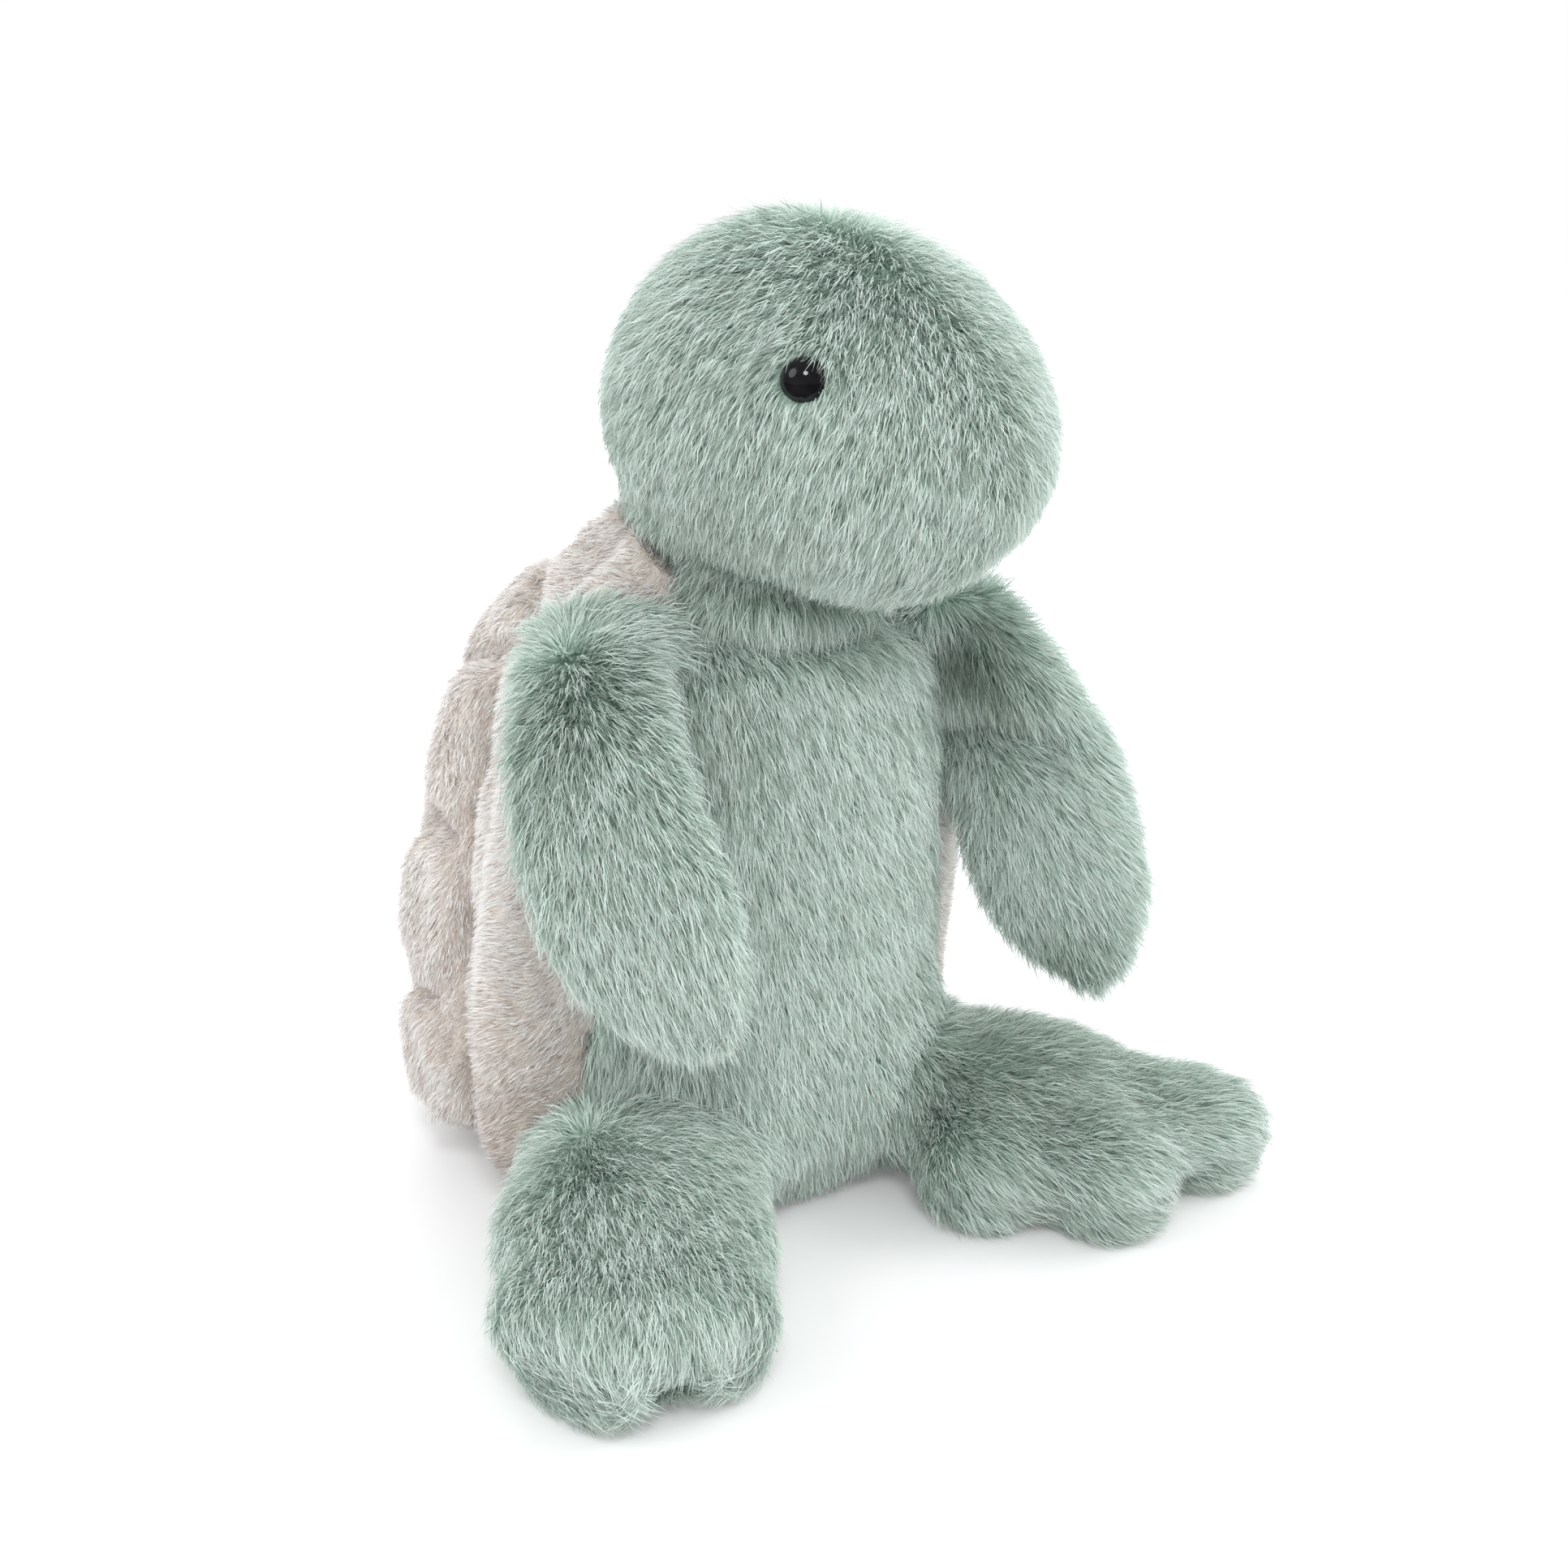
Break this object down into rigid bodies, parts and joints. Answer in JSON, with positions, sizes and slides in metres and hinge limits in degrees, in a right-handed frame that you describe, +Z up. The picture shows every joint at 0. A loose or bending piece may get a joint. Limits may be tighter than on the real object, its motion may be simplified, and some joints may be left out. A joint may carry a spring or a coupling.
{
  "type": "plush turtle",
  "caption": "Sitting plush turtle with a round head, flat flippers, splayed three-toed feet, a padded shell with quilted scutes and black safety eyes.",
  "frame": {"origin": "middle of the torso's flat seat, on the surface the toy sits on", "axes": "+Z up, the toy faces -Y, its left-hand side is +X"},
  "size_m": [0.2601, 0.249, 0.2901],
  "materials": {
    "green_pile": "long soft pile",
    "cream_pile": "long soft pile",
    "stuffing": "loose fibre",
    "pellets": "woven bag of pellets",
    "eye_black": "polished",
    "washer_plastic": "moulded"
  },
  "bodies": {
    "torso": {"torso_skin": "green_pile", "torso_filling": "stuffing", "pellet_bag": "pellets", "shell_cover": "cream_pile", "shell_filling": "stuffing"},
    "neck": {"neck_wad": "stuffing"},
    "head": {"head_skin": "green_pile", "head_filling": "stuffing", "right_eye": "eye_black", "left_eye": "eye_black", "right_eye_washer": "washer_plastic", "left_eye_washer": "washer_plastic"},
    "right_arm": {"right_arm_skin": "green_pile", "right_arm_filling": "stuffing"},
    "left_arm": {"left_arm_skin": "green_pile", "left_arm_filling": "stuffing"},
    "right_leg": {"right_leg_skin": "green_pile", "right_leg_filling": "stuffing"},
    "left_leg": {"left_leg_skin": "green_pile", "left_leg_filling": "stuffing"}
  },
  "joints": [
    {"name": "head_turn", "type": "hinge", "parent": "torso", "child": "neck", "pos_m": [0, -0.012, 0.186], "axis": [0, 0, 1], "range_deg": [-20, 10], "stiffness_Nm_per_rad": 0.6},
    {"name": "head_nod", "type": "hinge", "parent": "neck", "child": "head", "pos_m": [0, -0.012, 0.186], "axis": [1, 0, 0], "range_deg": [-4, 6], "stiffness_Nm_per_rad": 1, "springref_deg": -0.81},
    {"name": "right_arm_lift", "type": "hinge", "parent": "torso", "child": "right_arm", "pos_m": [-0.0375, -0.012, 0.184], "axis": [-0.4271, 0.9042, 0], "range_deg": [0, 16]},
    {"name": "left_arm_lift", "type": "hinge", "parent": "torso", "child": "left_arm", "pos_m": [0.0375, -0.012, 0.184], "axis": [-0.4271, -0.9042, 0], "range_deg": [0, 16]},
    {"name": "right_leg_lift", "type": "hinge", "parent": "torso", "child": "right_leg", "pos_m": [-0.0557, -0.0306, 0.048], "axis": [-0.7447, 0.6674, 0], "range_deg": [0, 12]},
    {"name": "left_leg_lift", "type": "hinge", "parent": "torso", "child": "left_leg", "pos_m": [0.0457, -0.0343, 0.048], "axis": [-0.8104, -0.5859, 0], "range_deg": [0, 10]}
  ]
}
